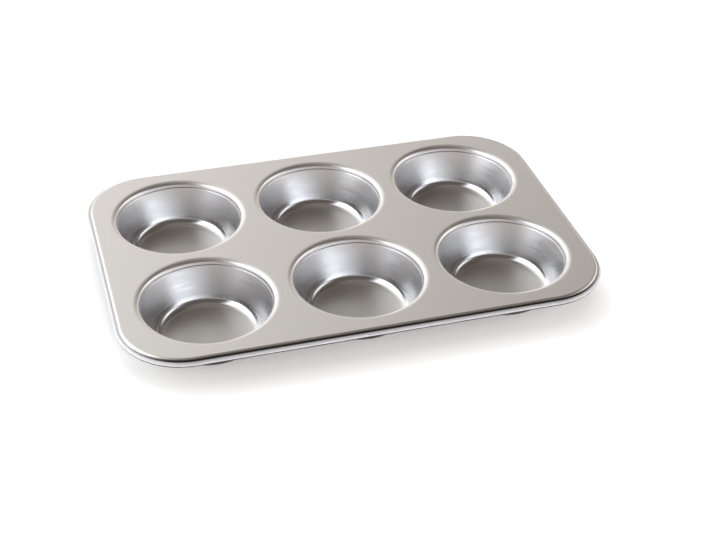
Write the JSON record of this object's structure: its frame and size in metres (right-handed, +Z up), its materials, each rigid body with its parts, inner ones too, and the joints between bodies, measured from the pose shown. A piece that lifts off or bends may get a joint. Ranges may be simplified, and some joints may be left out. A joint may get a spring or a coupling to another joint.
{
  "type": "jumbo muffin pan",
  "caption": "Rectangular jumbo muffin pan of drawn aluminium: deep straight-sided cups with rounded mouths, locked into a flat deck whose edge is rolled round a wire.",
  "frame": {"origin": "middle of the pan, on the plane that the undersides of the cups rest on", "axes": "+X along the row of three cups, to the right in the picture; +Y to the back; +Z up, out of the cups' mouths"},
  "size_m": [0.3598, 0.2408, 0.033],
  "materials": {
    "deck": "satin",
    "cups": "drawn, brighter than the deck",
    "wire": "galvanised"
  },
  "bodies": {
    "root": {"pan_deck": "deck", "cup_front_left": "cups", "cup_front_middle": "cups", "cup_front_right": "cups", "cup_back_left": "cups", "cup_back_middle": "cups", "cup_back_right": "cups", "rim_wire": "wire"}
  },
  "joints": []
}
